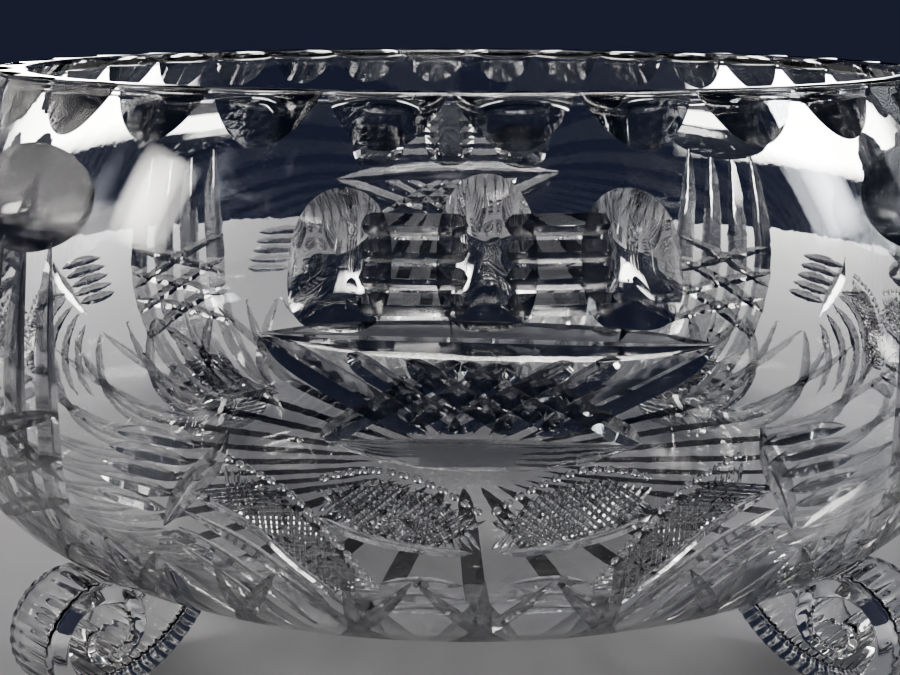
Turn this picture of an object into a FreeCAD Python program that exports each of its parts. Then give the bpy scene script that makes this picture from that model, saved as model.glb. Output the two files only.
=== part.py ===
import FreeCAD, Part
import math
import os

import Sketcher
from FreeCAD import Placement, Rotation, Vector

# Cut-glass punch bowl on four scroll feet.
# Millimetres, +Z up. The origin is on the bowl's axis in the plane the feet stand on.
# The bowl is blown as one piece and wheel-cut afterwards. Each foot is a separate
# ribbon of hot glass, rolled into a scroll and fused to the underside.

os.makedirs("parts", exist_ok=True)
doc = FreeCAD.newDocument("punch_bowl")

SIZES = {
    # outline of the bowl
    "total_height": 160.0,
    "rim_inset": 24.0,
    "belly_radius": 165.0,
    "corner_radius": 55.0,
    "clearance": 22.0,
    "wall_thick": 9.0,
    "rim_round": 1.6,
    # scallops cut round the outside of the rim
    "scallop_count": 32,
    "scallop_drop": 12.0,
    "scallop_wheel": 26.5,
    "scallop_lean": 47.3,
    "scallop_turn": 2.6,
    # panels and the pillars between them
    "panel_count": 4,
    "thumb_drop": 32.0,
    "thumb_step": 3.0,
    "thumb_long": 25.0,
    "thumb_wide": 15.5,
    "thumb_deep": 12.0,
    "thumb_cut": 3.0,
    "thumb_spread": 11.5,
    "lens_drop": 26.5,
    "lens_tall": 17.5,
    "lens_wide": 41.0,
    "lens_deep": 14.0,
    "lens_cut": 5.0,
    "ladder_drop": 26.5,
    "ladder_pitch": 5.4,
    "ladder_length": 18.0,
    "ladder_cut": 2.4,
    "ladder_spread": 5.7,
    "high_mitre_drop": 50.0,
    "high_mitre_cut": 3.4,
    "high_mitre_half": 4.4,
    "high_mitre_sweep": 35.6,
    "low_mitre_drop": 72.5,
    "low_mitre_cut": 1.8,
    "low_mitre_half": 2.2,
    "low_mitre_sweep": 24.0,
    "edge_mitre_turn": 8.8,
    "edge_mitre_cut": 2.6,
    "edge_mitre_half": 3.0,
    "edge_mitre_up": 20.0,
    "edge_mitre_down": 62.0,
    "star_count": 32,
    "star_cut": 2.4,
    "star_inner": 28.0,
    # scroll feet
    "foot_inset": 19.0,
    "scroll_eye": 2.0,
    "stem_radius": 42.0,
    "ribbon_thick": 6.5,
    "ribbon_width": 20.0,
    "scroll_gap": 2.0,
    "bead_radius": 2.6,
    "foot_flat": 0.4,
}

sheet = doc.addObject("Spreadsheet::Sheet", "Sizes")
for row, (alias, value) in enumerate(SIZES.items(), start=1):
    sheet.set(f"A{row}", alias)
    sheet.set(f"B{row}", str(value))
    sheet.setAlias(f"B{row}", alias)

# worked out from the sizes above, in the same sheet
RIM_RISE = "(total_height - belly_height)"
WALL_REACH = "sqrt(wall_arc ^ 2 - (total_height - {drop} - belly_height) ^ 2)"
DERIVED = {
    "belly_height": "clearance + corner_radius",
    "rim_radius": "belly_radius - rim_inset",
    "foot_radius": "belly_radius - foot_inset",
    "scroll_radius": "2 * ribbon_thick + scroll_gap + scroll_eye",
    "wall_arc": f"({RIM_RISE} ^ 2 + rim_inset ^ 2) / (2 * rim_inset)",
    "high_mitre_radius": "belly_radius - wall_arc + " + WALL_REACH.format(drop="high_mitre_drop"),
    "low_mitre_radius": "belly_radius - wall_arc + " + WALL_REACH.format(drop="low_mitre_drop"),
    "star_reach": "belly_radius - corner_radius + sqrt(2 * corner_radius * star_cut - star_cut ^ 2)",
}
for row, (alias, formula) in enumerate(DERIVED.items(), start=len(SIZES) + 1):
    sheet.set(f"A{row}", alias)
    sheet.set(f"B{row}", "=" + formula)
    sheet.setAlias(f"B{row}", alias)
    doc.recompute()

PANEL_TURN = 360.0 / SIZES["panel_count"]
OVERCUT = 6.0
START, END, CENTRE = 1, 2, 3
H_AXIS, V_AXIS = -1, -2


def size(alias):
    """The sheet's present value of one size."""
    return float(sheet.get(alias))


def ref(text):
    """An expression in which every bare alias is read from the sheet."""
    words = []
    for word in text.split():
        words.append("Sizes." + word if word in SIZES or word in DERIVED else word)
    return " ".join(words)


def origin_plane(body, role):
    for feature in body.Origin.OriginFeatures:
        if feature.Role == role:
            return feature
    raise ValueError(role)


def new_body(label):
    body = doc.addObject("PartDesign::Body", label)
    body.Label = label
    return body


def new_sketch(body, name):
    """A sketch on the body's XZ plane: sketch x is the radius, sketch y is the height."""
    sketch = body.newObject("Sketcher::SketchObject", name)
    sketch.AttachmentSupport = [(origin_plane(body, "XZ_Plane"), "")]
    sketch.MapMode = "FlatFace"
    return sketch


def drive(sketch, kind, *where, by):
    """Add a dimension and bind it to the sheet."""
    index = sketch.addConstraint(Sketcher.Constraint(kind, *where, measure(sketch, kind, where)))
    sketch.setExpression(f"Constraints[{index}]", ref(by))


def measure(sketch, kind, where):
    """The dimension as drawn, which is where the solver starts."""
    if kind == "Radius":
        return sketch.Geometry[where[0]].Radius
    first = sketch.getPoint(where[0], where[1])
    second = sketch.getPoint(where[2], where[3])
    return second.x - first.x if kind == "DistanceX" else second.y - first.y


def relate(sketch, kind, *where):
    sketch.addConstraint(Sketcher.Constraint(kind, *where))


def arc(x, y, radius, start, stop):
    """An arc in the sketch plane, drawn from angle start to angle stop in degrees."""
    circle = Part.Circle(Vector(x, y, 0), Vector(0, 0, 1), radius)
    return Part.ArcOfCircle(circle, math.radians(start), math.radians(stop))


def line(x1, y1, x2, y2):
    return Part.LineSegment(Vector(x1, y1, 0), Vector(x2, y2, 0))


def wall_at(height):
    """Outer radius of the wall at a height above the belly, and how far its face looks up."""
    up = height - size("belly_height")
    reach = math.sqrt(size("wall_arc") ** 2 - up ** 2)
    return size("belly_radius") - size("wall_arc") + reach, math.degrees(math.asin(up / size("wall_arc")))


def bowl_outline(body):
    """Half section of the uncut bowl: two tangent arcs outside, the same offset inside."""
    flat = size("belly_radius") - size("corner_radius")
    low, top, thick = size("clearance"), size("total_height"), size("wall_thick")
    mid, long_arc = size("belly_height"), size("wall_arc")
    hub = size("belly_radius") - long_arc
    outer_turn = math.degrees(math.asin((top - mid) / long_arc))
    inner_turn = math.degrees(math.asin((top - mid) / (long_arc - thick)))
    inner_rim = hub + (long_arc - thick) * math.cos(math.radians(inner_turn))

    sketch = new_sketch(body, "bowl_outline")
    base, corner, wall, rim, inside, inner_corner, floor, axis = range(8)
    sketch.addGeometry([
        line(0, low, flat, low),
        arc(flat, mid, size("corner_radius"), -90, 0),
        arc(hub, mid, long_arc, 0, outer_turn),
        line(size("rim_radius"), top, inner_rim, top),
        arc(hub, mid, long_arc - thick, 0, inner_turn),
        arc(flat, mid, size("corner_radius") - thick, -90, 0),
        line(flat, low + thick, 0, low + thick),
        line(0, low + thick, 0, low),
    ], False)
    relate(sketch, "Tangent", base, END, corner, START)
    relate(sketch, "Tangent", corner, END, wall, START)
    relate(sketch, "Coincident", wall, END, rim, START)
    relate(sketch, "Coincident", rim, END, inside, END)
    relate(sketch, "Coincident", inside, START, inner_corner, END)
    relate(sketch, "Coincident", inner_corner, START, floor, START)
    relate(sketch, "Coincident", floor, END, axis, START)
    relate(sketch, "Coincident", axis, END, base, START)
    relate(sketch, "Coincident", corner, CENTRE, inner_corner, CENTRE)
    relate(sketch, "Coincident", wall, CENTRE, inside, CENTRE)
    for flat_line in (base, rim, floor):
        relate(sketch, "Horizontal", flat_line)
    relate(sketch, "PointOnObject", axis, START, V_AXIS)
    relate(sketch, "PointOnObject", axis, END, V_AXIS)
    relate(sketch, "Horizontal", corner, CENTRE, corner, END)
    relate(sketch, "Horizontal", inner_corner, CENTRE, inner_corner, END)
    relate(sketch, "Vertical", inner_corner, CENTRE, inner_corner, START)
    drive(sketch, "Radius", corner, by="corner_radius")
    drive(sketch, "Radius", inner_corner, by="corner_radius - wall_thick")
    drive(sketch, "DistanceY", H_AXIS, START, base, START, by="clearance")
    drive(sketch, "DistanceX", H_AXIS, START, corner, END, by="belly_radius")
    drive(sketch, "DistanceX", H_AXIS, START, rim, START, by="rim_radius")
    drive(sketch, "DistanceY", H_AXIS, START, rim, START, by="total_height")
    return sketch


def spin(body, sketch, kind, name, turn=360.0):
    """Turn a sketch about the bowl's axis, adding or removing glass."""
    feature = body.newObject("PartDesign::" + kind, name)
    feature.Profile = sketch
    feature.ReferenceAxis = (sketch, ["V_Axis"])
    feature.Angle = turn
    return feature


def around(body, feature, name, count):
    """Repeat one cut evenly round the bowl's axis."""
    pattern = body.newObject("PartDesign::PolarPattern", name)
    pattern.Originals = [feature]
    pattern.Axis = (bowl_sketch, ["V_Axis"])
    pattern.Angle = 360
    pattern.setExpression("Occurrences", ref(count))
    body.Tip = pattern
    doc.recompute()
    return pattern


def on_wall(height, azimuth, lift):
    """A placement over the wall: local x looks straight out of the glass, z runs up it."""
    radius, lean = wall_at(height)
    outward = Vector(math.cos(math.radians(lean)), 0, math.sin(math.radians(lean)))
    spot = Vector(radius, 0, height) + outward * lift
    tilt = Placement(spot, Rotation(Vector(0, 1, 0), -lean))
    return Placement(Vector(0, 0, 0), Rotation(Vector(0, 0, 1), azimuth)).multiply(tilt)


def rounded_cut(body, name, drop, azimuth, tall, wide, deep, cut):
    """One hollow ground with a round-faced wheel."""
    hollow = body.newObject("PartDesign::SubtractiveEllipsoid", name)
    hollow.setExpression("Radius1", ref(tall))
    hollow.setExpression("Radius2", ref(deep))
    hollow.setExpression("Radius3", ref(wide))
    height = size("total_height") - drop
    hollow.Placement = on_wall(height, azimuth, size(deep) - size(cut))
    around(body, hollow, name + "_ring", "panel_count")


def cut_scallops(body):
    """Thirty-two half-moons: a round wheel leaning outwards takes off the rim's edge."""
    lean = math.radians(size("scallop_lean"))
    wheel = size("scallop_wheel")
    upwards = Vector(-math.sin(lean), 0, math.cos(lean))
    outwards = Vector(math.cos(lean), 0, math.sin(lean))
    lowest = size("total_height") - size("scallop_drop")
    start = Vector(wall_at(lowest)[0], 0, lowest)

    scallop = body.newObject("PartDesign::SubtractiveCylinder", "scallop")
    scallop.setExpression("Radius", ref("scallop_wheel"))
    scallop.setExpression("Height", ref("2 * scallop_wheel"))
    tilt = Rotation(Vector(0, 1, 0), -size("scallop_lean"))
    aside = Placement(Vector(0, 0, 0), Rotation(Vector(0, 0, 1), size("scallop_turn")))
    scallop.Placement = aside.multiply(Placement(start + (outwards - upwards) * wheel, tilt))
    around(body, scallop, "scallop_ring", "scallop_count")


def cut_ladder(body):
    """Four short level mitres on each side of the middle thumb cut."""
    side = size("ladder_cut") * math.sqrt(2) + OVERCUT
    for rung in range(4):
        height = size("total_height") - size("ladder_drop") - rung * size("ladder_pitch")
        for hand, turn in (("left", -1), ("right", 1)):
            name = f"ladder_{hand}_{rung + 1}"
            bar = body.newObject("PartDesign::SubtractiveBox", name)
            bar.Length = side
            bar.setExpression("Width", ref("ladder_length"))
            bar.Height = side
            spot = on_wall(height, turn * size("ladder_spread"), -size("ladder_cut"))
            corner = Placement(Vector(0, 0, 0), Rotation(Vector(0, 1, 0), 45))
            centred = Placement(Vector(0, -size("ladder_length") / 2, 0), Rotation())
            bar.Placement = spot.multiply(corner).multiply(centred)
            around(body, bar, name + "_ring", "panel_count")


def level_mitre(body, name, drop, cut, half, sweep):
    """A V groove round part of the wall, centred on each panel."""
    height = size("total_height") - size(drop)
    radius = size(name + "_radius")
    out = radius + OVERCUT
    rise = (size(cut) + OVERCUT) * size(half) / size(cut)
    apex = radius - size(cut)
    sketch = new_sketch(body, name + "_section")
    sketch.addGeometry([
        line(apex, height, out, height - rise),
        line(out, height - rise, out, height + rise),
        line(out, height + rise, apex, height),
    ], False)
    relate(sketch, "Coincident", 0, END, 1, START)
    relate(sketch, "Coincident", 1, END, 2, START)
    relate(sketch, "Coincident", 2, END, 0, START)
    relate(sketch, "Vertical", 1)
    drive(sketch, "DistanceY", H_AXIS, START, 0, START, by=f"total_height - {drop}")
    drive(sketch, "DistanceX", H_AXIS, START, 0, START, by=f"{name}_radius - {cut}")
    drive(sketch, "DistanceX", 0, START, 0, END, by=f"{cut} + {OVERCUT}")
    drive(sketch, "DistanceY", 1, START, 1, END, by=f"2 * ( {cut} + {OVERCUT} ) * {half} / {cut}")
    drive(sketch, "DistanceY", 0, END, 0, START, by=f"( {cut} + {OVERCUT} ) * {half} / {cut}")
    groove = spin(body, sketch, "Groove", name)
    groove.Midplane = True
    groove.setExpression("Angle", ref(sweep))
    around(body, groove, name + "_ring", "panel_count")


def edge_mitres(body):
    """The long upright mitres that bound each pillar, down the wall and under the belly."""
    hub = size("belly_radius") - size("wall_arc")
    flat = size("belly_radius") - size("corner_radius")
    apex = size("belly_radius") - size("edge_mitre_cut")
    out = size("belly_radius") + OVERCUT
    half = (size("edge_mitre_cut") + OVERCUT) * size("edge_mitre_half") / size("edge_mitre_cut")
    stretches = (("wall", hub, "edge_mitre_up", False), ("corner", flat, "edge_mitre_down", True))
    for hand, turn in (("left", -1), ("right", 1)):
        grooves = []
        for stretch, pivot, sweep, downwards in stretches:
            name = f"edge_mitre_{stretch}_{hand}"
            sketch = body.newObject("Sketcher::SketchObject", name + "_section")
            sketch.AttachmentSupport = [(origin_plane(body, "XY_Plane"), "")]
            sketch.MapMode = "FlatFace"
            azimuth = PANEL_TURN / 2 + turn * size("edge_mitre_turn")
            lift = Vector(0, 0, size("belly_height"))
            sketch.AttachmentOffset = Placement(lift, Rotation(Vector(0, 0, 1), azimuth))
            sketch.addGeometry([
                line(apex, 0, out, -half),
                line(out, -half, out, half),
                line(out, half, apex, 0),
            ], False)
            sketch.addGeometry(line(pivot, -half, pivot, half), True)
            for corner in range(3):
                relate(sketch, "Coincident", corner, END, (corner + 1) % 3, START)
            relate(sketch, "Vertical", 1)
            drive(sketch, "DistanceX", H_AXIS, START, 1, START, by=f"belly_radius + {OVERCUT}")
            drive(sketch, "DistanceX", H_AXIS, START, 0, START, by="belly_radius - edge_mitre_cut")
            groove = body.newObject("PartDesign::Groove", name)
            groove.Profile = sketch
            groove.ReferenceAxis = (sketch, ["Axis0"])
            groove.setExpression("Angle", ref(sweep))
            groove.Reversed = downwards
            body.Tip = groove
            doc.recompute()
            grooves.append(groove)
        pattern = around(body, grooves[0], f"edge_mitre_{hand}_ring", "panel_count")
        pattern.Originals = grooves
        doc.recompute()


def cut_star(body):
    """Radial mitres under the foot ring of the bowl, meeting short of the centre."""
    side = size("star_cut") * math.sqrt(2) + OVERCUT
    ray = body.newObject("PartDesign::SubtractiveBox", "star_ray")
    ray.setExpression("Length", ref("star_reach - star_inner"))
    ray.Width = side
    ray.Height = side
    spot = Vector(size("star_inner"), 0, size("clearance") + size("star_cut"))
    ray.Placement = Placement(spot, Rotation(Vector(1, 0, 0), 225))
    around(body, ray, "star", "star_count")


def foot(label, azimuth):
    """A ribbon of glass that leaves the underside, rolls out, up and in on itself."""
    body = new_body(label)
    centre = size("foot_radius")
    thick = size("ribbon_thick")
    lower = size("foot_flat")
    loops = [size("stem_radius"), size("scroll_radius")]
    loops.append(size("scroll_radius") - (thick + size("scroll_gap")) / 2)
    loops.append(size("scroll_radius") - (thick + size("scroll_gap")))
    hubs = [loops[0] - lower, loops[1] - lower]
    hubs.append(hubs[1] + loops[1] - loops[2])
    hubs.append(hubs[2] - loops[2] + loops[3])
    spans = [(180, 270), (-90, 90), (90, 270), (-90, 90)]

    sketch = new_sketch(body, label + "_outline")
    shapes = []
    for radius, hub, (start, stop) in zip(loops, hubs, spans):
        shapes.append(arc(centre, hub, radius, start, stop))
    for radius, hub, (start, stop) in zip(loops, hubs, spans):
        shapes.append(arc(centre, hub, radius - thick, start, stop))
    shapes.append(line(centre - loops[0], hubs[0], centre - loops[0] + thick, hubs[0]))
    tip = hubs[3] + loops[3]
    shapes.append(line(centre, tip, centre, tip - thick))
    sketch.addGeometry(shapes, False)
    stem, cap, end = 0, 8, 9
    for chain in (0, 4):
        relate(sketch, "Tangent", chain, END, chain + 1, START)
        relate(sketch, "Tangent", chain + 1, END, chain + 2, START)
        relate(sketch, "Tangent", chain + 2, END, chain + 3, START)
    relate(sketch, "Coincident", stem, START, cap, START)
    relate(sketch, "Coincident", cap, END, 4, START)
    relate(sketch, "Coincident", 3, END, end, START)
    relate(sketch, "Coincident", end, END, 7, END)
    relate(sketch, "Horizontal", cap)
    relate(sketch, "Horizontal", stem, CENTRE, stem, START)
    relate(sketch, "Vertical", end)
    for outer, inner in ((0, 4), (1, 5), (2, 6), (3, 7)):
        relate(sketch, "Coincident", outer, CENTRE, inner, CENTRE)
    for loop in range(3):
        relate(sketch, "Vertical", loop, CENTRE, loop, END)
    relate(sketch, "Vertical", 3, CENTRE, 3, END)
    drive(sketch, "DistanceX", H_AXIS, START, stem, CENTRE, by="foot_radius")
    drive(sketch, "DistanceY", H_AXIS, START, stem, CENTRE, by="stem_radius - foot_flat")
    drive(sketch, "Radius", 0, by="stem_radius")
    drive(sketch, "Radius", 4, by="stem_radius - ribbon_thick")
    drive(sketch, "Radius", 1, by="scroll_radius")
    drive(sketch, "Radius", 2, by="scroll_radius - ( ribbon_thick + scroll_gap ) / 2")
    drive(sketch, "Radius", 3, by="scroll_radius - ribbon_thick - scroll_gap")

    ribbon = body.newObject("PartDesign::Pad", label + "_ribbon")
    ribbon.Profile = sketch
    ribbon.setExpression("Length", ref("ribbon_width"))
    ribbon.Midplane = True
    body.Tip = ribbon
    doc.recompute()

    bead_sketch = new_sketch(body, label + "_bead_outline")
    bead_sketch.addGeometry(
        Part.Circle(Vector(centre, hubs[3], 0), Vector(0, 0, 1), size("bead_radius")), False)
    drive(bead_sketch, "Radius", 0, by="bead_radius")
    drive(bead_sketch, "DistanceX", H_AXIS, START, 0, CENTRE, by="foot_radius")
    drive(bead_sketch, "DistanceY", H_AXIS, START, 0, CENTRE, by="scroll_radius - foot_flat")
    bead = body.newObject("PartDesign::Pad", label + "_bead")
    bead.Profile = bead_sketch
    bead.setExpression("Length", ref("ribbon_width"))
    bead.Midplane = True
    body.Tip = bead
    doc.recompute()

    seat_the_foot(body, label)
    body.Placement = Placement(Vector(0, 0, 0), Rotation(Vector(0, 0, 1), azimuth))
    return body


def seat_the_foot(body, label):
    """Take off what would stand inside the bowl, and grind the bottom flat."""
    flat = size("belly_radius") - size("corner_radius")
    low, mid = size("clearance"), size("belly_height")
    sketch = new_sketch(body, label + "_seat_section")
    sketch.addGeometry([
        line(0, low, flat, low),
        arc(flat, mid, size("corner_radius"), -90, 0),
        line(size("belly_radius"), mid, 0, mid),
        line(0, mid, 0, low),
    ], False)
    relate(sketch, "Tangent", 0, END, 1, START)
    relate(sketch, "Coincident", 1, END, 2, START)
    relate(sketch, "Coincident", 2, END, 3, START)
    relate(sketch, "Coincident", 3, END, 0, START)
    relate(sketch, "Horizontal", 0)
    relate(sketch, "Horizontal", 2)
    relate(sketch, "PointOnObject", 3, START, V_AXIS)
    relate(sketch, "PointOnObject", 3, END, V_AXIS)
    relate(sketch, "Horizontal", 1, CENTRE, 1, END)
    drive(sketch, "DistanceY", H_AXIS, START, 0, START, by="clearance")
    drive(sketch, "Radius", 1, by="corner_radius")
    drive(sketch, "DistanceX", H_AXIS, START, 1, END, by="belly_radius")
    seat = spin(body, sketch, "Groove", label + "_seat")
    body.Tip = seat
    doc.recompute()

    sole = body.newObject("PartDesign::SubtractiveBox", label + "_sole")
    sole.setExpression("Length", ref("2 * scroll_radius"))
    sole.setExpression("Width", ref("2 * ribbon_width"))
    sole.Height = OVERCUT
    corner = Vector(size("foot_radius") - size("scroll_radius"), -size("ribbon_width"), -OVERCUT)
    sole.Placement = Placement(corner, Rotation())
    body.Tip = sole
    doc.recompute()


bowl = new_body("bowl")
bowl_sketch = bowl_outline(bowl)
doc.recompute()
blank = spin(bowl, bowl_sketch, "Revolution", "blank")
doc.recompute()

rim_edges = []
for number, edge in enumerate(blank.Shape.Edges, start=1):
    box = edge.BoundBox
    if box.ZMin > size("total_height") - 0.01 and box.XLength > size("rim_radius"):
        rim_edges.append(f"Edge{number}")
rounding = bowl.newObject("PartDesign::Fillet", "rim_rounding")
rounding.Base = (blank, rim_edges)
rounding.setExpression("Radius", ref("rim_round"))
bowl.Tip = rounding
doc.recompute()

cut_scallops(bowl)
thumb_drop = size("thumb_drop")
thumb = ("thumb_long", "thumb_wide", "thumb_deep", "thumb_cut")
rounded_cut(bowl, "thumb_middle", thumb_drop, 0, *thumb)
rounded_cut(bowl, "thumb_left", thumb_drop + size("thumb_step"), -size("thumb_spread"), *thumb)
rounded_cut(bowl, "thumb_right", thumb_drop + size("thumb_step"), size("thumb_spread"), *thumb)
rounded_cut(bowl, "lens", size("lens_drop"), PANEL_TURN / 2,
            "lens_tall", "lens_wide", "lens_deep", "lens_cut")
cut_ladder(bowl)
level_mitre(bowl, "high_mitre", "high_mitre_drop", "high_mitre_cut", "high_mitre_half",
            "high_mitre_sweep")
level_mitre(bowl, "low_mitre", "low_mitre_drop", "low_mitre_cut", "low_mitre_half",
            "low_mitre_sweep")
edge_mitres(bowl)
cut_star(bowl)

bodies = [bowl]
for number in range(SIZES["panel_count"]):
    bodies.append(foot(f"foot_{number + 1}", PANEL_TURN * (number + 0.5) - 90))

doc.recompute()
for item in doc.Objects:
    if "Invalid" in item.State or "Error" in item.State:
        raise RuntimeError(f"{item.Name}: {item.State}")
for body in bodies:
    shape = body.Shape
    if shape.isNull() or not shape.isValid():
        raise RuntimeError(f"{body.Label} has no valid shape")
    shape.exportStep(f"parts/{body.Label}.step")
    print(body.Label, "solids", len(shape.Solids), "volume", round(shape.Volume, 1), shape.BoundBox)
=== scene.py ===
import math
import time

import bpy
import numpy as np
from mathutils import Matrix, Vector


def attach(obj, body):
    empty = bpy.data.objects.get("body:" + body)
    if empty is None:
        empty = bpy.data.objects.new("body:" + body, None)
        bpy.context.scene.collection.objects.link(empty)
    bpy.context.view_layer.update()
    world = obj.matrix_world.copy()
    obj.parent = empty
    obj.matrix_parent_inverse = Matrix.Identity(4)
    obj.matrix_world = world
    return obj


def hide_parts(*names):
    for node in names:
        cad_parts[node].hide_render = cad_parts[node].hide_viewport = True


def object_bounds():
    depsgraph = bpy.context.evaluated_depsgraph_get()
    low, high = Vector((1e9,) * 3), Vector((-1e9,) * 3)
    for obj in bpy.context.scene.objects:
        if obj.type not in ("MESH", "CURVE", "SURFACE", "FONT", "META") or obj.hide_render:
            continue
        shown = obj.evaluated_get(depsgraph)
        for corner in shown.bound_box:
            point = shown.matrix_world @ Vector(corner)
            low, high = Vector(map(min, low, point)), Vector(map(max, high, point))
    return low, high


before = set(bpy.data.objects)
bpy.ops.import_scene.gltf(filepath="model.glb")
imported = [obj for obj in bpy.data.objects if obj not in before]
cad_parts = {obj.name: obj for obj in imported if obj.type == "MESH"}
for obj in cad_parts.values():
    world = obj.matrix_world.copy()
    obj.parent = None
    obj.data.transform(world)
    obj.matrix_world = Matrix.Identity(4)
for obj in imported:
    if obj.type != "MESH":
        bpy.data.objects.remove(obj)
cad_box = [list(corner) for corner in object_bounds()]

# ---------------------------------------------------------------------------
# Where the bowl stands: a pale matt floor under two large diffused lamps and a
# dim room, seen from just above the rim.
MM = 0.001
floor_low, floor_high = cad_box
floor_z = floor_low[2]
FLOOR_RADIUS = 0.8
FLOOR_SPOKES = 128
FLOOR_RINGS = 24


class Wire:
    """One socket of a material. Sums and products on it add the Math nodes."""

    def __init__(self, tree, socket):
        self.tree = tree
        self.socket = socket

    def add(self, kind, settings=None, sockets=None, out=0):
        """Any other node: its settings first, then a value or a wire for each socket."""
        node = self.tree.nodes.new(kind)
        for name, value in (settings or {}).items():
            if name == "stops":
                ramp = node.color_ramp
                while len(ramp.elements) < len(value):
                    ramp.elements.new(1.0)
                for element, (place, colour) in zip(ramp.elements, value):
                    element.position = place
                    element.color = colour
            else:
                setattr(node, name, value)
        for name, value in (sockets or {}).items():
            if isinstance(value, Wire):
                self.tree.links.new(value.socket, node.inputs[name])
            else:
                node.inputs[name].default_value = value
        return Wire(self.tree, node.outputs[out] if node.outputs else None)

    def maths(self, operation, first, second=0.0):
        return self.add("ShaderNodeMath", {"operation": operation}, {0: first, 1: second})

    def __add__(self, other):
        return self.maths("ADD", self, other)

    __radd__ = __add__

    def __mul__(self, other):
        return self.maths("MULTIPLY", self, other)

    __rmul__ = __mul__

    def __sub__(self, other):
        return self.maths("SUBTRACT", self, other)

    def __rsub__(self, other):
        return self.maths("SUBTRACT", other, self)


def material(name):
    """An empty material, and a wire to build its nodes from."""
    made = bpy.data.materials.new(name)
    made.use_nodes = True
    made.node_tree.nodes.clear()
    return made, Wire(made.node_tree, None)


def show(start, surface):
    start.add("ShaderNodeOutputMaterial", None, {"Surface": surface})


def floor_finish():
    made, start = material("pale_floor")
    place = start.add("ShaderNodeNewGeometry", None, None, "Position")
    grain = start.add("ShaderNodeTexNoise", None, {"Vector": place, "Scale": 9.0, "Detail": 4.0}, "Fac")
    colour = start.add("ShaderNodeValToRGB", {"stops": (
        (0.3, (0.60, 0.60, 0.62, 1.0)), (0.7, (0.64, 0.64, 0.65, 1.0)))}, {"Fac": grain})
    skin = start.add("ShaderNodeBsdfPrincipled", None, {
        "Base Color": colour, "Roughness": 0.55 + grain * 0.1, "Specular IOR Level": 0.3})
    show(start, skin)
    return made


def floor_mesh():
    points, faces = [(0.0, 0.0, floor_z)], []
    for ring in range(1, FLOOR_RINGS + 1):
        radius = FLOOR_RADIUS * (ring / FLOOR_RINGS) ** 1.5
        for spoke in range(FLOOR_SPOKES):
            turn = 2 * math.pi * spoke / FLOOR_SPOKES
            points.append((radius * math.cos(turn), radius * math.sin(turn), floor_z))
    for ring in range(FLOOR_RINGS):
        for spoke in range(FLOOR_SPOKES):
            after = (spoke + 1) % FLOOR_SPOKES
            far = 1 + ring * FLOOR_SPOKES
            if ring == 0:
                faces.append((0, far + spoke, far + after))
            else:
                near = far - FLOOR_SPOKES
                faces.append((near + spoke, far + spoke, far + after, near + after))
    mesh = bpy.data.meshes.new("floor")
    mesh.from_pydata(points, [], faces)
    mesh.materials.append(floor_finish())
    return mesh


def put(name, mesh):
    thing = bpy.data.objects.new(name, mesh)
    bpy.context.scene.collection.objects.link(thing)
    return thing


put("floor", floor_mesh())

world = bpy.data.worlds.new("dim_room")
world.use_nodes = True
room = world.node_tree.nodes["Background"]
room.inputs["Color"].default_value = (0.020, 0.024, 0.045, 1.0)
room.inputs["Strength"].default_value = 1.0
bpy.context.scene.world = world


def lamp(name, place, aim, wide, tall, watts, colour=(1.0, 0.97, 0.93)):
    """A flat diffused lamp that faces a point, brightest in its middle."""
    light = bpy.data.lights.new(name, "AREA")
    light.shape = "RECTANGLE"
    light.size = wide
    light.size_y = tall
    light.energy = watts
    light.color = colour
    light.use_nodes = True
    glow = light.node_tree.nodes["Emission"]
    start = Wire(light.node_tree, None)
    place_on = start.add("ShaderNodeNewGeometry", None, None, "Parametric")
    along = start.add("ShaderNodeSeparateXYZ", None, {0: place_on}, "X")
    up = start.add("ShaderNodeSeparateXYZ", None, {0: place_on}, "Y")
    strength = 36.0 * along * (1.0 - along) * up * (1.0 - up)
    light.node_tree.links.new(strength.socket, glow.inputs["Strength"])
    thing = put(name, light)
    thing.location = place
    way = Vector(aim) - Vector(place)
    thing.rotation_euler = way.to_track_quat("-Z", "Y").to_euler()
    thing.visible_camera = False
    return thing


BOWL_MIDDLE = (0.0, 0.0, 0.09)
lamp("lamp_ceiling", (0.0, 0.1, 1.3), BOWL_MIDDLE, 1.5, 1.2, 4.0)
lamp("lamp_above", (0.05, -0.15, 0.75), BOWL_MIDDLE, 0.25, 0.2, 2.0)
lamp("lamp_left", (-0.9, -0.35, 0.55), BOWL_MIDDLE, 0.22, 0.32, 3.0)
lamp("lamp_right", (0.9, -0.2, 0.5), BOWL_MIDDLE, 0.18, 0.32, 2.4, (0.93, 0.96, 1.0))
lamp("lamp_behind_left", (-0.42, 0.85, 0.16), BOWL_MIDDLE, 0.4, 0.16, 1.8)
lamp("lamp_behind_right", (0.42, 0.85, 0.12), BOWL_MIDDLE, 0.35, 0.14, 1.6)
bpy.context.scene.view_settings.look = "AgX - Medium High Contrast"

# The eye is close to the glass and a little above the rim, turned slightly to
# the left of a panel's middle.
EYE_AWAY = 0.4475
EYE_HIGH = 0.17985
EYE_ROUND = -2.0
EYE_PITCH = 0.2377
EYE_YAW = -0.0080
EYE_ROLL = 0.0031
EYE_LENS = 55.91
FILM_WIDE = 36.0

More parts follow.
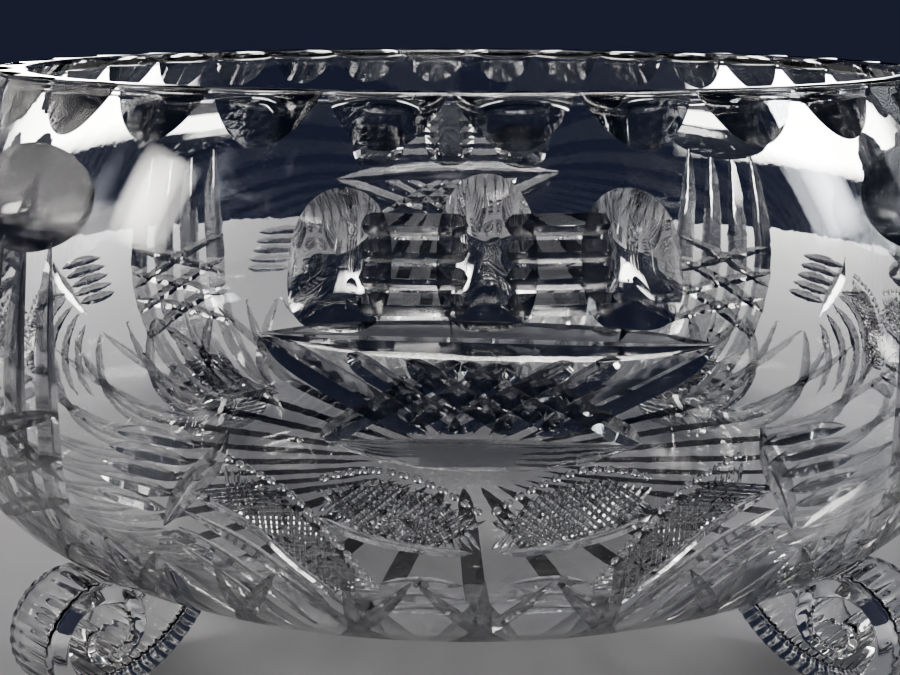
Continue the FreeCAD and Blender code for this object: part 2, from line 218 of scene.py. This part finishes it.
forward = Vector((math.sin(EYE_YAW) * math.cos(EYE_PITCH),
                  math.cos(EYE_YAW) * math.cos(EYE_PITCH), -math.sin(EYE_PITCH)))
level = Vector((math.cos(EYE_YAW), -math.sin(EYE_YAW), 0.0))
upright = level.cross(forward)
across = math.cos(EYE_ROLL) * level + math.sin(EYE_ROLL) * upright
upward = math.cos(EYE_ROLL) * upright - math.sin(EYE_ROLL) * level
axes = Matrix((across, upward, -forward)).transposed().to_4x4()
lens = bpy.data.cameras.new("eye")
lens.lens = EYE_LENS
lens.sensor_width = FILM_WIDE
lens.clip_start = 0.01
eye = put("eye", lens)
eye.matrix_world = (Matrix.Rotation(math.radians(EYE_ROUND), 4, "Z")
                    @ Matrix.Translation((0.0, -EYE_AWAY, EYE_HIGH)) @ axes)
bpy.context.scene.camera = eye

# ---------------------------------------------------------------------------
# The bowl: one heavy gather of clear lead crystal, blown, then cut on stone
# wheels and polished. First the plain blank, turned about its axis.
RIM_RADIUS = 141.0
BELLY_RADIUS = 165.0
CORNER_RADIUS = 55.0
CLEARANCE = 22.0
TOTAL_HEIGHT = 160.0
WALL_THICK = 9.0
RIM_ROUND = 1.6
BELLY_HEIGHT = CLEARANCE + CORNER_RADIUS
RIM_RISE = TOTAL_HEIGHT - BELLY_HEIGHT
RIM_RUN = BELLY_RADIUS - RIM_RADIUS
WALL_ARC = (RIM_RISE ** 2 + RIM_RUN ** 2) / (2 * RIM_RUN)
WALL_HUB = BELLY_RADIUS - WALL_ARC
WALL_TURN = math.asin(RIM_RISE / WALL_ARC)
FLAT_RADIUS = BELLY_RADIUS - CORNER_RADIUS
BLANK_SPOKES = 432
BLANK_STEP = 2.0


def half_section():
    """The blank's outline from the middle of its underside, round the rim, to its floor."""
    points = []
    inner_arc, inner_corner = WALL_ARC - WALL_THICK, CORNER_RADIUS - WALL_THICK
    inner_turn = math.asin(RIM_RISE / inner_arc)
    steps = int(FLAT_RADIUS / BLANK_STEP / 2)
    for step in range(steps):
        points.append((FLAT_RADIUS * step / steps, CLEARANCE))
    steps = int(CORNER_RADIUS * math.pi / 2 / BLANK_STEP)
    for step in range(steps):
        turn = math.pi / 2 * step / steps
        points.append((FLAT_RADIUS + CORNER_RADIUS * math.sin(turn),
                       BELLY_HEIGHT - CORNER_RADIUS * math.cos(turn)))
    steps = int(WALL_ARC * WALL_TURN / BLANK_STEP)
    stop = WALL_TURN - RIM_ROUND / WALL_ARC
    for step in range(steps + 1):
        turn = stop * step / steps
        points.append((WALL_HUB + WALL_ARC * math.cos(turn), BELLY_HEIGHT + WALL_ARC * math.sin(turn)))
    outer_rim = WALL_HUB + WALL_ARC * math.cos(stop) - RIM_ROUND
    inner_stop = inner_turn - RIM_ROUND / inner_arc
    inner_rim = WALL_HUB + inner_arc * math.cos(inner_stop) + RIM_ROUND
    for step in range(1, 6):
        turn = math.pi / 2 * step / 6
        points.append((outer_rim + RIM_ROUND * math.cos(turn),
                       TOTAL_HEIGHT - RIM_ROUND * (1 - math.sin(turn))))
    points.append((outer_rim, TOTAL_HEIGHT))
    points.append(((outer_rim + inner_rim) / 2, TOTAL_HEIGHT))
    points.append((inner_rim, TOTAL_HEIGHT))
    for step in range(1, 6):
        turn = math.pi / 2 * step / 6
        points.append((inner_rim - RIM_ROUND * math.sin(turn),
                       TOTAL_HEIGHT - RIM_ROUND * (1 - math.cos(turn))))
    steps = int(inner_arc * inner_turn / BLANK_STEP)
    for step in range(steps + 1):
        turn = inner_stop * (1 - step / steps)
        points.append((WALL_HUB + inner_arc * math.cos(turn), BELLY_HEIGHT + inner_arc * math.sin(turn)))
    steps = int(inner_corner * math.pi / 2 / BLANK_STEP)
    for step in range(1, steps + 1):
        turn = math.pi / 2 * (1 - step / steps)
        points.append((FLAT_RADIUS + inner_corner * math.sin(turn),
                       BELLY_HEIGHT - inner_corner * math.cos(turn)))
    steps = int(FLAT_RADIUS / BLANK_STEP / 2)
    for step in range(1, steps + 1):
        points.append((FLAT_RADIUS * (1 - step / steps), CLEARANCE + WALL_THICK))
    return points


def turned(outline, spokes):
    """Points and faces of an outline turned about the axis; both its ends lie on the axis."""
    points = [(0.0, 0.0, outline[0][1])]
    for radius, height in outline[1:-1]:
        for spoke in range(spokes):
            turn = 2 * math.pi * spoke / spokes
            points.append((radius * math.cos(turn), radius * math.sin(turn), height))
    points.append((0.0, 0.0, outline[-1][1]))
    last = len(points) - 1
    rings = len(outline) - 2
    faces = []
    for spoke in range(spokes):
        after = (spoke + 1) % spokes
        faces.append((0, 1 + after, 1 + spoke))
        for ring in range(rings - 1):
            low = 1 + ring * spokes
            high = low + spokes
            faces.append((low + spoke, low + after, high + after, high + spoke))
        top = 1 + (rings - 1) * spokes
        faces.append((top + spoke, top + after, last))
    return points, faces


def mesh_of(name, points, faces):
    mesh = bpy.data.meshes.new(name)
    mesh.from_pydata([tuple(MM * value for value in point) for point in points], [], faces)
    return mesh


# Places on the outside are given by the azimuth from a panel's middle, in degrees,
# and the run: the distance down the wall from the rim, in millimetres.
WALL_RUN = WALL_ARC * WALL_TURN
CORNER_RUN = WALL_RUN + CORNER_RADIUS * math.pi / 2


def run_at(height):
    """The run of a height on the wall or the corner."""
    if height >= BELLY_HEIGHT:
        return WALL_ARC * (WALL_TURN - math.asin((height - BELLY_HEIGHT) / WALL_ARC))
    return WALL_RUN + CORNER_RADIUS * math.asin(min(1.0, (BELLY_HEIGHT - height) / CORNER_RADIUS))


def run_under(radius):
    return CORNER_RUN + FLAT_RADIUS - radius


def on_glass(azimuth, run):
    """The point of the blank's outside at a place, and the way out of the glass."""
    if run <= WALL_RUN:
        turn = WALL_TURN - run / WALL_ARC
        radius, height = WALL_HUB + WALL_ARC * math.cos(turn), BELLY_HEIGHT + WALL_ARC * math.sin(turn)
        out, up = math.cos(turn), math.sin(turn)
    elif run <= CORNER_RUN:
        turn = (run - WALL_RUN) / CORNER_RADIUS
        radius = FLAT_RADIUS + CORNER_RADIUS * math.cos(turn)
        height = BELLY_HEIGHT - CORNER_RADIUS * math.sin(turn)
        out, up = math.cos(turn), -math.sin(turn)
    else:
        radius, height = FLAT_RADIUS + CORNER_RUN - run, CLEARANCE
        out, up = 0.0, -1.0
    a = math.radians(azimuth)
    point = np.array((radius * math.sin(a), -radius * math.cos(a), height))
    way = np.array((out * math.sin(a), -out * math.cos(a), up))
    return point, way


PANELS = 4
LIFT = 2.0
FADE = 0.12


class Cuts:
    """One pass round the bowl with a wheel: cuts that don't run into each other."""

    def __init__(self, name):
        self.name = name
        self.points = []
        self.faces = []

    def take(self, points, faces, panels=PANELS):
        """The same cut on every panel."""
        for panel in range(panels):
            turn = 2 * math.pi * panel / panels
            c, s = math.cos(turn), math.sin(turn)
            start = len(self.points)
            self.points += [(x * c - y * s, x * s + y * c, z) for x, y, z in points]
            self.faces += [tuple(start + corner for corner in face) for face in faces]

    def mitre(self, marks, deep, half, full=2.0, steps=24, panels=PANELS, flat=0.4, upper=None):
        """A V along marks, deep in the middle; full says how square its ends are.
        half is its half width, upper that of its other side, flat that of the worn bottom."""
        upper = upper or half
        way = smooth_way(marks, steps)
        points = []
        for step, (azimuth, run) in enumerate(way):
            share = step / steps
            spot, out = on_glass(azimuth, run)
            before = on_glass(*way[max(step - 1, 0)])[0]
            after = on_glass(*way[min(step + 1, steps)])[0]
            side = np.cross(out, after - before)
            side /= np.linalg.norm(side)
            depth = deep * (1 - abs(2 * share - 1) ** full) - FADE
            worn = flat * max(0.05, depth / deep)
            rise = (depth + LIFT) / deep
            points += [spot + out * LIFT - side * (worn + rise * half), spot - out * depth - side * worn,
                       spot - out * depth + side * worn, spot + out * LIFT + side * (worn + rise * upper)]
        corners = 4
        faces = [tuple(range(corners))]
        for step in range(steps):
            a = corners * step
            for corner in range(corners):
                b = (corner + 1) % corners
                faces.append((a + corner, a + corners + corner, a + corners + b, a + b))
        faces.append(tuple(reversed(range(corners * steps, corners * (steps + 1)))))
        self.take(points, faces, panels)

    def hollow(self, azimuth, height, wide, tall, deep, square=2.0, low_square=None,
               tilt=0.0, rings=9, spokes=48, panels=PANELS):
        """A rounded dip: wide and tall are half sizes; square makes its outline boxier."""
        low_square = low_square or square
        centre_run = run_at(height)
        radius = np.linalg.norm(on_glass(azimuth, centre_run)[0][:2])
        points = []
        for ring in range(rings + 1):
            share = 1.12 * ring / rings
            for spoke in range(spokes):
                turn = 2 * math.pi * spoke / spokes
                c, s = math.cos(turn), math.sin(turn)
                power = square if s > 0 else low_square
                swell = (abs(c) ** power + abs(s) ** power) ** (-1 / power)
                x, y = wide * share * swell * c, tall * share * swell * s
                t = math.radians(tilt)
                x, y = x * math.cos(t) - y * math.sin(t), x * math.sin(t) + y * math.cos(t)
                spot, out = on_glass(azimuth + math.degrees(x / radius), centre_run - y)
                points.append(spot - out * deep * (1 - share * share))
                if ring == 0:
                    break
        rim = len(points) - spokes
        for spoke in range(spokes):
            spot, out = points[rim + spoke], on_glass(azimuth, centre_run)[1]
            points.append(spot + out * LIFT)
        top = len(points)
        points.append(on_glass(azimuth, centre_run)[0] + on_glass(azimuth, centre_run)[1] * 2 * LIFT)
        faces = []
        for spoke in range(spokes):
            after = (spoke + 1) % spokes
            faces.append((0, 1 + spoke, 1 + after))
            for ring in range(rings - 1):
                near = 1 + ring * spokes
                far = near + spokes
                faces.append((near + spoke, far + spoke, far + after, near + after))
            faces.append((rim + spoke, rim + spokes + spoke, rim + spokes + after, rim + after))
            faces.append((rim + spokes + spoke, top, rim + spokes + after))
        self.take(points, faces, panels)


def smooth(knots, steps, weights):
    """Rows evenly along a smooth way through the knots; weights turn their units into lengths."""
    knots = np.array(knots, float)
    if len(knots) == 2:
        shares = np.linspace(0, 1, steps + 1)[:, None]
        return knots[0] * (1 - shares) + knots[1] * shares
    gaps = np.diff(knots, axis=0) * weights
    lengths = np.concatenate(([0], np.cumsum(np.linalg.norm(gaps, axis=1))))
    slopes = np.gradient(knots, lengths, axis=0)
    rows = []
    for distance in np.linspace(0, lengths[-1], steps + 1):
        k = min(np.searchsorted(lengths, distance, side="right") - 1, len(knots) - 2)
        span = lengths[k + 1] - lengths[k]
        t = (distance - lengths[k]) / span
        rows.append((2 * t ** 3 - 3 * t ** 2 + 1) * knots[k]
                    + (t ** 3 - 2 * t ** 2 + t) * span * slopes[k]
                    + (3 * t ** 2 - 2 * t ** 3) * knots[k + 1]
                    + (t ** 3 - t ** 2) * span * slopes[k + 1])
    return np.array(rows)


DEGREE_LONG = 2.85


def smooth_way(marks, steps):
    """Places of azimuth and run along a smooth way through the marks."""
    return [tuple(place) for place in smooth(marks, steps, (DEGREE_LONG, 1.0))]


def at(*marks):
    """Marks given as azimuth and height, as azimuth and run."""
    return [(azimuth, run_at(height)) for azimuth, height in marks]


passes = []


def new_pass(name):
    made = Cuts(name)
    passes.append(made)
    return made


# ---- the rim: thirty-two half-moons taken off the outer edge by a leaning wheel
SCALLOPS = 32
SCALLOP_DROP = 12.0
SCALLOP_WHEEL = 26.5
SCALLOP_LEAN = math.radians(47.3)
SCALLOP_TURN = 2.6
WHEEL_SPOKES = 160


def wheel_points():
    """The leaning wheel's round face as a short bar, with its lowest line on the glass."""
    up = np.array((0.0, math.sin(SCALLOP_LEAN), math.cos(SCALLOP_LEAN)))
    out = np.array((0.0, -math.cos(SCALLOP_LEAN), math.sin(SCALLOP_LEAN)))
    aside = np.array((1.0, 0.0, 0.0))
    hub = on_glass(0.0, run_at(TOTAL_HEIGHT - SCALLOP_DROP))[0] + out * SCALLOP_WHEEL
    points, faces = [], []
    for end in (-0.3, 1.0):
        for spoke in range(WHEEL_SPOKES):
            turn = 2 * math.pi * spoke / WHEEL_SPOKES
            points.append(hub + up * end * SCALLOP_WHEEL
                          + SCALLOP_WHEEL * (math.cos(turn) * aside + math.sin(turn) * out))
    for spoke in range(WHEEL_SPOKES):
        after = (spoke + 1) % WHEEL_SPOKES
        faces.append((spoke, after, WHEEL_SPOKES + after, WHEEL_SPOKES + spoke))
    faces.append(tuple(reversed(range(WHEEL_SPOKES))))
    faces.append(tuple(range(WHEEL_SPOKES, 2 * WHEEL_SPOKES)))
    return points, faces


for half in range(2):
    scallops = new_pass("scallops")
    points, faces = wheel_points()
    turn = math.radians(SCALLOP_TURN + half * 360 / SCALLOPS)
    c, s = math.cos(turn), math.sin(turn)
    points = [(x * c - y * s, x * s + y * c, z) for x, y, z in points]
    scallops.take(points, faces, SCALLOPS // 2)

# ---- the panel's top: three thumb cuts with a ladder of short mitres between
THUMB_DEEP = 4.6
thumbs = new_pass("thumbs")
thumbs.hollow(0.0, 128.0, 10.7, 17.0, THUMB_DEEP, 2.2, 3.2)
thumbs.hollow(-11.5, 126.0, 11.3, 15.6, THUMB_DEEP, 2.2, 3.2)
thumbs.hollow(11.5, 126.0, 11.3, 15.6, THUMB_DEEP, 2.2, 3.2)

rungs = new_pass("rungs")
for side in (-1, 1):
    for height in (133.3, 127.9, 122.5, 117.1):
        rungs.mitre(at((side * 5.7 - 4.3, height), (side * 5.7 + 4.3, height)), 2.0, 2.65, full=16.0, flat=0.05)

# ---- the basket: a deep level mitre above, a shallow one below, trellis between
level_cuts = new_pass("level")
level_cuts.mitre(at((-17.9, 109.9), (0.0, 109.8), (18.5, 106.9)), 3.4, 3.9, full=3.0, steps=48,
                 flat=0.5)
level_cuts.mitre(at((-12.8, 87.9), (0.0, 87.6), (11.9, 86.3)), 1.5, 6.5, full=2.2, steps=36,
                 flat=0.25, upper=1.3)

falling = new_pass("falling")
rising = new_pass("rising")
TRELLIS_DEEP, TRELLIS_HALF = 1.7, 2.3
for start, stop in (((-10.6, 106.7), (-1.9, 90.5)), ((-6.1, 105.5), (1.9, 91.2)),
                    ((-2.0, 105.0), (5.4, 91.0)), ((1.0, 104.7), (11.7, 86.9))):
    falling.mitre(at(start, stop), TRELLIS_DEEP, TRELLIS_HALF, full=10.0)
falling.mitre(at((-17.4, 109.2), (-4.3, 90.2)), 2.6, 3.2, full=5.0)
for start, stop in (((-12.6, 88.2), (-1.9, 105.5)), ((-5.8, 92.4), (1.4, 104.5)),
                    ((-2.9, 90.8), (6.6, 105.0)), ((0.4, 90.6), (10.2, 105.5))):
    rising.mitre(at(start, stop), TRELLIS_DEEP, TRELLIS_HALF, full=10.0)
rising.mitre(at((3.4, 89.8), (18.0, 106.4)), 2.6, 3.2, full=5.0)

# ---- the pillars: a wide lens above, four long mitres side by side below it
PILLAR = 45.0
lenses = new_pass("lenses")
lenses.hollow(PILLAR, 133.4, 26.5, 13.6, 4.6, 2.0)
for parity in range(2):
    staves = new_pass("staves")
    for stave in range(parity, 4, 2):
        lean = stave - 1.5
        staves.mitre([(PILLAR + lean * 3.6, run_at(126.0)), (PILLAR + lean * 4.1, run_at(105.0)),
                      (PILLAR + lean * 4.6, run_at(80.0)), (PILLAR + lean * 4.5, run_at(60.0)),
                      (PILLAR + lean * 4.2, run_under(112.0))],
                     2.3 if abs(lean) < 1 else 2.8, 5.0 if abs(lean) < 1 else 4.2, full=4.0, steps=72)
slants = [new_pass("slants_up"), new_pass("slants_down")]
for slant in range(3):
    low = 86.0 - 11.0 * slant
    slants[0].mitre(at((PILLAR - 8.6, low), (PILLAR, low - 8.0), (PILLAR + 8.6, low - 18.0)),
                    1.5, 2.2, full=3.0)
    slants[1].mitre(at((PILLAR + 8.6, low), (PILLAR, low - 8.0), (PILLAR - 8.6, low - 18.0)),
                    1.5, 2.2, full=3.0)

# ---- fans: a slash and five blades at each side
slashes = new_pass("slashes")
slashes.mitre(at((-19.7, 88.6), (-21.2, 81.0), (-23.9, 72.5), (-26.6, 62.3)), 2.4, 2.8, full=2.0)
slashes.mitre(at((21.8, 88.6), (22.6, 81.0), (24.4, 72.0), (26.2, 60.8)), 2.4, 2.8, full=2.0)
blades = new_pass("blades")
for side in (-1, 1):
    for blade in range(5):
        inner = at((side * (21.9 + 0.95 * blade), 83.9 - 4.1 * blade))[0]
        middle = at((side * (26.5 + 0.5 * blade), 84.9 - 4.2 * blade))[0]
        outer = at((side * (30.8 + 0.55 * blade), 84.6 - 3.9 * blade))[0]
        blades.mitre([inner, middle, outer], 1.4, 1.75, full=3.0)

# ---- leaves: two pairs of ribbons filled with fine trellis, edged with beads,
# that meet at the panel's middle and sweep down to the foot of the wall
LEAF_DEEP, LEAF_HALF = 0.6, 0.62
leaf_tops = {
    "inner": ((-12.7, 77.4), (-10.4, 79.4), (-7.9, 80.2), (-5.5, 78.8), (-2.9, 75.6), (-0.3, 70.6)),
    "outer": ((-20.2, 80.7), (-17.6, 77.8), (-15.0, 73.9), (-12.9, 67.8), (-10.8, 60.2), (-8.6, 50.5)),
}
leaf_lows = {
    "inner": ((-12.9, 71.3), (-10.9, 68.3), (-7.8, 65.7), (-5.0, 64.3), (-2.6, 63.4), (-0.3, 62.9)),
    "outer": ((-23.2, 73.2), (-20.4, 70.2), (-17.2, 64.6), (-15.1, 58.2), (-12.9, 51.6), (-11.0, 44.0)),
}
for way in (1, -1):
    weave = new_pass("weave")
    for leaf, count, slant in (("inner", 20, 6), ("outer", 28, 6)):
        for side in (1, -1):
            top = smooth([(side * a, run_at(z)) for a, z in leaf_tops[leaf]], count, (DEGREE_LONG, 1.0))
            low = smooth([(side * a, run_at(z)) for a, z in leaf_lows[leaf]], count, (DEGREE_LONG, 1.0))
            for place in range(count - slant + 1):
                first, second = (top, low) if way > 0 else (low, top)
                weave.mitre([tuple(first[place]), tuple(second[place + slant])],
                            LEAF_DEEP, LEAF_HALF, full=12.0, steps=8, flat=0.08)
edging = new_pass("edging")
for side in (1, -1):
    edging.mitre([(side * a, run_at(z - 0.8)) for a, z in leaf_lows["inner"]][:-1] + [(side * -0.9, run_at(62.6))],
                 0.9, 1.1, full=8.0, steps=30)
    edging.mitre([(side * a, run_at(z - 0.8)) for a, z in leaf_lows["outer"]], 0.9, 1.1, full=8.0, steps=30)
for leaf, count in (("inner", 13), ("outer", 18)):
    beads = new_pass("beads")
    for side in (1, -1):
        lift = 1.6
        chain = smooth([(side * a, run_at(z) - lift) for a, z in leaf_tops[leaf]], 2 * count,
                       (DEGREE_LONG, 1.0))
        for bead in range(count):
            a, run = chain[2 * bead + 1]
            ahead, back = chain[2 * bead + 2], chain[2 * bead]
            tilt = math.degrees(math.atan2(-(ahead - back)[1], (ahead - back)[0] * DEGREE_LONG))
            height = on_glass(a, run)[0][2]
            beads.hollow(a, height, 1.25, 0.95, 0.55, 2.0, tilt=tilt, rings=4, spokes=16)

# ---- the foot of the wall: long flutes that follow the outer leaf down, and level nicks
flutes = new_pass("flutes")
for side in (1, -1):
    for flute in range(3):
        shift = 3.0 * flute
        flutes.mitre([(side * (-24.6 - 0.2 * shift), run_at(68.5 - 1.5 * shift)),
                      (side * (-19.0 - 0.55 * shift), run_at(61.0 - 1.6 * shift)),
                      (side * (-14.2 - 0.8 * shift), run_at(48.0 - 1.2 * shift)),
                      (side * (-12.4 - 0.9 * shift), run_at(38.0 - 0.7 * shift))],
                     1.3, 1.9, full=3.0, steps=36)
nicks = new_pass("nicks")
for side in (1, -1):
    for height in (53.5, 49.0, 44.6):
        nicks.mitre(at((side * 1.6, height), (side * 5.2, height + 0.8), (side * 8.6, height)),
                    1.3, 1.8, full=2.4)

for slant in (-1, 1):
    lattice = new_pass("lattice")
    lattice.mitre([(-slant * 5.6, run_at(55.0)), (0.0, run_at(36.0)), (slant * 5.6, run_under(112.0))],
                  1.5, 2.2, full=4.0, steps=30, panels=32)

# ---- the underside: a star of long mitres that also notch the corner
STAR_RAYS = 32
star = new_pass("star")
star.mitre([(0.0, run_under(28.0)), (0.0, run_under(70.0)), (0.0, run_under(110.0)),
            (0.0, run_at(34.0)), (0.0, run_at(56.0))], 2.5, 2.7, full=5.0, steps=48, panels=STAR_RAYS)


def glass(name, ripple, haze):
    """Polished lead crystal: clear, strongly refracting, with a faint hand-polished ripple."""
    made, start = material(name)
    place = start.add("ShaderNodeNewGeometry", None, None, "Position")
    swirl = start.add("ShaderNodeTexNoise", None, {"Vector": place, "Scale": 26.0, "Detail": 2.0}, "Fac")
    fine = start.add("ShaderNodeTexNoise", None, {"Vector": place, "Scale": 240.0, "Detail": 3.0}, "Fac")
    relief = start.add("ShaderNodeBump", None, {
        "Height": swirl + fine * 0.12, "Strength": 1.0, "Distance": ripple})
    tint = start.add("ShaderNodeValToRGB", {"stops": (
        (0.3, (0.985, 0.992, 0.99, 1.0)), (0.7, (0.995, 0.995, 1.0, 1.0)))}, {"Fac": swirl})
    skin = start.add("ShaderNodeBsdfPrincipled", None, {
        "Base Color": tint, "Roughness": haze + fine * haze, "IOR": 1.545,
        "Transmission Weight": 1.0, "Normal": relief})
    show(start, skin)
    return made


polished = glass("polished_crystal", 0.00006, 0.001)
wheel_cut = glass("wheel_cut_crystal", 0.000015, 0.001)


def cut_bowl():
    t0 = time.time()
    blank = mesh_of("bowl_blank", *turned(half_section(), BLANK_SPOKES))
    blank.materials.append(polished)
    bowl = put("crystal_bowl", blank)
    wheels = []
    for number, one in enumerate(passes):
        mesh = mesh_of(f"pass_{number}", one.points, one.faces)
        mesh.materials.append(wheel_cut)
        tool = put(f"pass_{number}", mesh)
        wheels.append(tool)
        cut = bowl.modifiers.new(one.name, "BOOLEAN")
        cut.operation = "DIFFERENCE"
        cut.solver = "MANIFOLD"
        cut.material_mode = "TRANSFER"
        cut.object = tool
    t1 = time.time()
    graph = bpy.context.evaluated_depsgraph_get()
    finished = bpy.data.meshes.new_from_object(bowl.evaluated_get(graph))
    bowl.modifiers.clear()
    bowl.data = finished
    for tool in wheels:
        bpy.data.objects.remove(tool)
    finished.shade_smooth()
    finished.set_sharp_from_angle(angle=math.radians(24))
    import bmesh
    bm = bmesh.new(); bm.from_mesh(finished); print("VOLUME bowl", bm.calc_volume(signed=True) * 1e9, flush=True); bm.free()
    print("TIMES", t1 - t0, time.time() - t1, flush=True)
    print("bowl faces", len(finished.polygons), "materials", [m.name for m in finished.materials])
    return bowl


crystal_bowl = cut_bowl()
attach(crystal_bowl, "root")
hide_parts("bowl")

# ---------------------------------------------------------------------------
# Four scroll feet: each is a ribbon of hot glass stuck to the underside, drawn
# down and out, rolled up and in on itself, and crimped across its outer face.
FOOT_RADIUS = 146.0
SCROLL_RADIUS = 17.0
STEM_RADIUS = 42.0
RIBBON_THICK = 7.0
RIBBON_WIDTH = 20.0
RIBBON_ROUND = 1.9
CRIMP_PITCH = 2.7
CRIMP_DEEP = 0.38
FOOT_LOW = 0.25
SEAT_GAP = 0.03
SECTION_EVERY = 0.45
SIDE_DEGREE = 0.2


def scroll_way(squeeze):
    """The middle of the ribbon: radius, height and thickness, from the stem to the curl."""
    knots = []
    stem_hub = STEM_RADIUS + FOOT_LOW
    for turn in (200, 214, 228, 242, 256):
        reach = STEM_RADIUS - RIBBON_THICK / 2
        knots.append((FOOT_RADIUS + reach * math.cos(math.radians(turn)),
                      stem_hub + reach * math.sin(math.radians(turn)), RIBBON_THICK))
    hub = SCROLL_RADIUS + FOOT_LOW
    for turn, reach, thick in ((0, 13.5, 7.0), (30, 13.5, 7.0), (60, 13.4, 7.0), (90, 13.4, 6.9),
                               (120, 13.4, 6.8), (150, 13.3, 6.7), (180, 13.2, 6.6), (210, 12.9, 6.4),
                               (240, 12.3, 5.8), (270, 11.0, 5.2), (300, 9.0, 4.4), (330, 7.0, 3.8),
                               (360, 5.6, 3.4), (400, 4.7, 3.1), (450, 4.0, 2.8), (500, 3.4, 2.5),
                               (545, 2.6, 2.2)):
        a = math.radians(turn - 90)
        reach *= squeeze
        knots.append((FOOT_RADIUS + reach * math.cos(a), hub + (13.5 - 13.5 * squeeze) * -1
                      + reach * math.sin(a), thick))
    return knots


def ribbon_section():
    """Half-unit outline of the ribbon across its travel: side, then outwards."""
    outline = []
    corners = ((1, 1), (-1, 1), (-1, -1), (1, -1))
    for corner, (side, out) in enumerate(corners):
        for step in range(6):
            turn = math.pi / 2 * (corner + step / 5)
            outline.append((side, out, math.cos(turn), math.sin(turn)))
        if out == 1 and side == 1:
            for share in (0.6, 0.2, -0.2, -0.6):
                outline.append((share, 1, 0.0, 1.0))
        if out == -1 and side == -1:
            for share in (-0.6, -0.2, 0.2, 0.6):
                outline.append((share, -1, 0.0, -1.0))
    return outline


def under_bowl(radius):
    """Height of the bowl's underside."""
    if radius <= FLAT_RADIUS:
        return CLEARANCE
    across = min(radius - FLAT_RADIUS, CORNER_RADIUS)
    return BELLY_HEIGHT - math.sqrt(CORNER_RADIUS ** 2 - across ** 2)


def foot_mesh(name, azimuth, seed):
    rng = np.random.default_rng(seed)
    squeeze = 1.0 - 0.02 * rng.random()
    knots = scroll_way(squeeze)
    length = sum(math.dist(a[:2], b[:2]) for a, b in zip(knots, knots[1:]))
    steps = int(length / SECTION_EVERY)
    way = smooth(knots, steps, (1.0, 1.0, 0.0))
    outline = ribbon_section()
    ring = len(outline)
    phases = np.cumsum(1 + 0.25 * (rng.random(400) - 0.5))
    out_way = np.array((math.sin(azimuth), -math.cos(azimuth), 0.0))
    side_way = np.array((math.cos(azimuth), math.sin(azimuth), 0.0))
    points = []
    travelled = 0.0
    for step, (radius, height, thick) in enumerate(way):
        before, after = way[max(step - 1, 0)], way[min(step + 1, steps)]
        dr, dz = after[0] - before[0], after[1] - before[1]
        size = math.hypot(dr, dz)
        travelled += size / 2
        out_r, out_z = dz / size, -dr / size
        beat = np.interp(travelled / CRIMP_PITCH, phases, np.arange(400))
        crimp = CRIMP_DEEP * (abs(math.sin(math.pi * beat)) - 1.0)
        left = (steps - step) * SECTION_EVERY
        end = math.sqrt(max(0.03, 1 - (1 - left / 1.6) ** 2)) if left < 1.6 else 1.0
        for side, out, c, s in outline:
            corner = RIBBON_ROUND * min(1.0, thick / RIBBON_THICK)
            x = (side * (RIBBON_WIDTH / 2 - corner) + corner * c) * (0.6 + 0.4 * end)
            y = (out * (thick / 2 - corner) + corner * s) * end
            y += 0.35 * (1 - (x / (RIBBON_WIDTH / 2)) ** 2) * (1 if out > 0 else -1) * end
            if out > 0:
                y += crimp * max(0.0, s) ** 0.5
            r, z = radius + out_r * y, height + out_z * y
            z = min(z, under_bowl(r) - SEAT_GAP)
            points.append(out_way * r + side_way * x + np.array((0.0, 0.0, max(z, 0.0))))
    faces = []
    for step in range(steps):
        for corner in range(ring):
            after = (corner + 1) % ring
            a = step * ring
            faces.append((a + corner, a + ring + corner, a + ring + after, a + after))
    faces.append(tuple(range(ring)))
    faces.append(tuple(reversed(range(steps * ring, (steps + 1) * ring))))
    mesh = mesh_of(name, points, faces)
    mesh.shade_smooth()
    mesh.materials.append(polished)
    return mesh


for number, azimuth in enumerate((45.0, 135.0, 225.0, 315.0), start=1):
    foot = put(f"scroll_foot_{number}", foot_mesh(f"scroll_foot_{number}", math.radians(azimuth), number))
    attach(foot, "root")
    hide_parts(f"foot_{number}")
